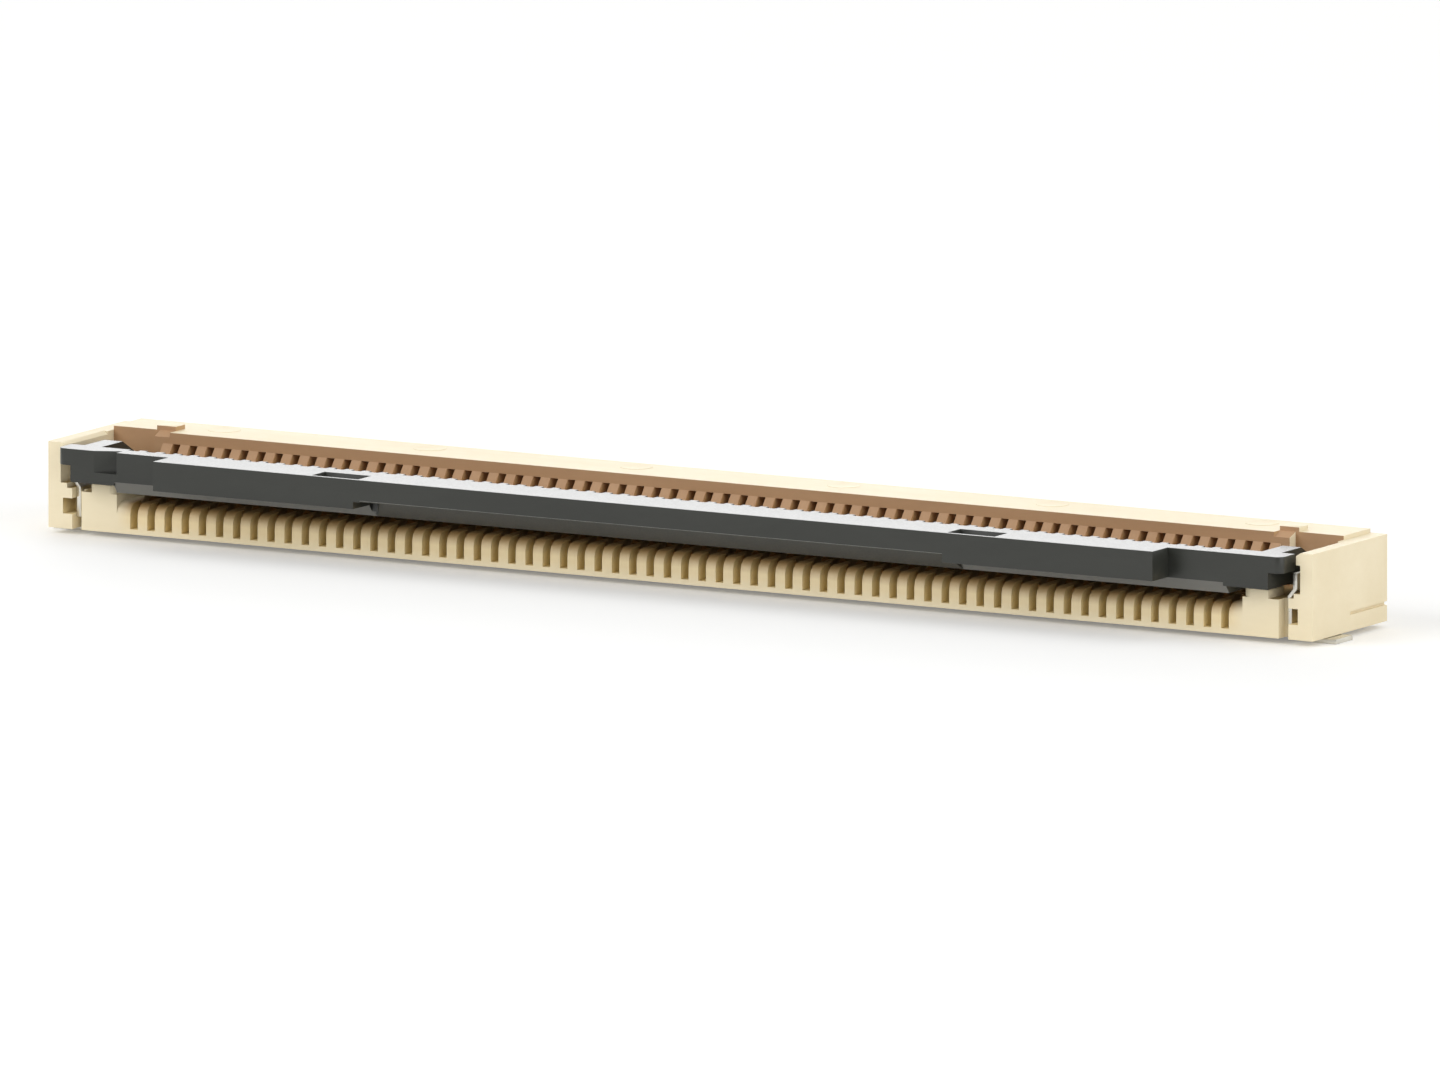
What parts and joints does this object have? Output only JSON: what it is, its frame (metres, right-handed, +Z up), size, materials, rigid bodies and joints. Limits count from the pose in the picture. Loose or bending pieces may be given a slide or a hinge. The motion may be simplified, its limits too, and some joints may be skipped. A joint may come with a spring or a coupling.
{
  "type": "fine-pitch flat-cable connector",
  "caption": "Low right-angle board connector for a flat flexible cable, with a comb of sprung contacts, a front flip actuator that clamps the cable, and solder hold-downs.",
  "frame": {"origin": "middle of the part's footprint, on the board plane under the solder tails and feet", "axes": "+X along the contact row, +Y from the cable side to the solder side, +Z up from the board"},
  "size_m": [0.037, 0.0058, 0.0026],
  "materials": {
    "housing": "satin",
    "actuator": "satin",
    "hold_down": "tinned",
    "contact": "plated"
  },
  "bodies": {
    "base": {"housing": "housing", "hold_down_left": "hold_down", "hold_down_right": "hold_down", "contact_bank_01": "contact", "contact_bank_02": "contact", "contact_bank_03": "contact", "contact_bank_04": "contact", "contact_bank_05": "contact", "contact_bank_06": "contact", "contact_bank_07": "contact", "contact_bank_08": "contact", "contact_bank_09": "contact", "contact_bank_10": "contact", "contact_bank_11": "contact", "contact_bank_12": "contact", "contact_bank_13": "contact", "contact_bank_14": "contact", "contact_bank_15": "contact", "contact_bank_16": "contact"},
    "lever": {"actuator": "actuator"}
  },
  "joints": [
    {"name": "actuator_flip", "type": "hinge", "parent": "base", "child": "lever", "pos_m": [0, -0.00009, 0.00156], "axis": [-1, 0, 0], "range_deg": [0, 95]}
  ]
}
